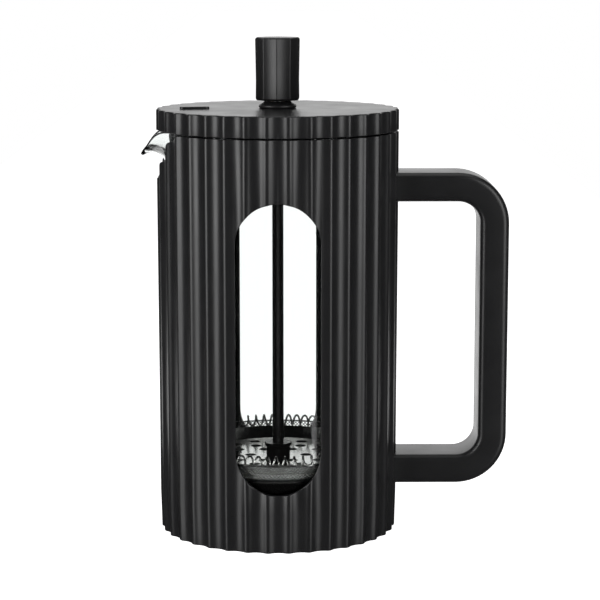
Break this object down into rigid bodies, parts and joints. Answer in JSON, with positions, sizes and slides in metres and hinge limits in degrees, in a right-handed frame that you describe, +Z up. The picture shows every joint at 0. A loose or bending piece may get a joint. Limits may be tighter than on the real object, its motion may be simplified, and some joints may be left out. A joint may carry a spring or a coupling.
{
  "type": "french press",
  "caption": "Plunger coffee maker: fluted housing with sight windows and D handle, glass beaker with spout, turning lid, and a rod with a sprung mesh filter.",
  "frame": {"origin": "centre of the housing's underside, on the axis of the glass", "axes": "+Z up along the axis of the glass, +X towards the handle, -X towards the spout, -Y towards the front window"},
  "size_m": [0.1622, 0.1066, 0.219],
  "materials": {
    "black_plastic": "fine spark-eroded satin texture, moulded polypropylene",
    "silicone": "matt moulded silicone rubber",
    "glass": "clear fire-polished borosilicate glass",
    "steel": "ground stainless steel",
    "polished_steel": "bright stainless steel",
    "woven_steel": "plain-woven stainless wire cloth",
    "dark_hub": "smooth moulded nylon",
    "acetal": "natural acetal, turned",
    "brass": "turned brass"
  },
  "bodies": {
    "housing": {"outer_shell": "black_plastic", "beaker_pad": "silicone", "handle": "black_plastic", "handle_screws": "steel"},
    "glass": {"beaker": "glass"},
    "seal": {"lid_seal": "silicone"},
    "lid": {"lid_cover": "black_plastic", "lid_marker": "black_plastic", "lid_liner": "black_plastic", "lid_collar": "black_plastic", "rod_bushes": "acetal", "lid_nut": "steel"},
    "filter": {"filter_hub": "dark_hub", "spiral_plate": "polished_steel", "coil_spring": "polished_steel", "mesh_screen": "woven_steel", "cross_plate": "steel", "filter_washer": "steel", "filter_nut": "steel"},
    "plunger": {"plunger_rod": "steel", "knob": "black_plastic", "knob_insert": "brass"}
  },
  "joints": [
    {"name": "beaker_lift", "type": "slide", "parent": "housing", "child": "glass", "axis": [0, 0, 1], "range_m": [0, 0.185]},
    {"name": "lid_lift", "type": "slide", "parent": "glass", "child": "seal", "axis": [0, 0, 1], "range_m": [0, 0.156]},
    {"name": "lid_turn", "type": "hinge", "parent": "seal", "child": "lid", "pos_m": [0, 0, 0.184], "axis": [0, 0, 1], "continuous": true},
    {"name": "plunger_slide", "type": "slide", "parent": "lid", "child": "filter", "axis": [0, 0, 1], "range_m": [0, 0.1175]},
    {"name": "rod_turn", "type": "hinge", "parent": "filter", "child": "plunger", "pos_m": [0, 0, 0.2], "axis": [0, 0, 1], "continuous": true}
  ]
}
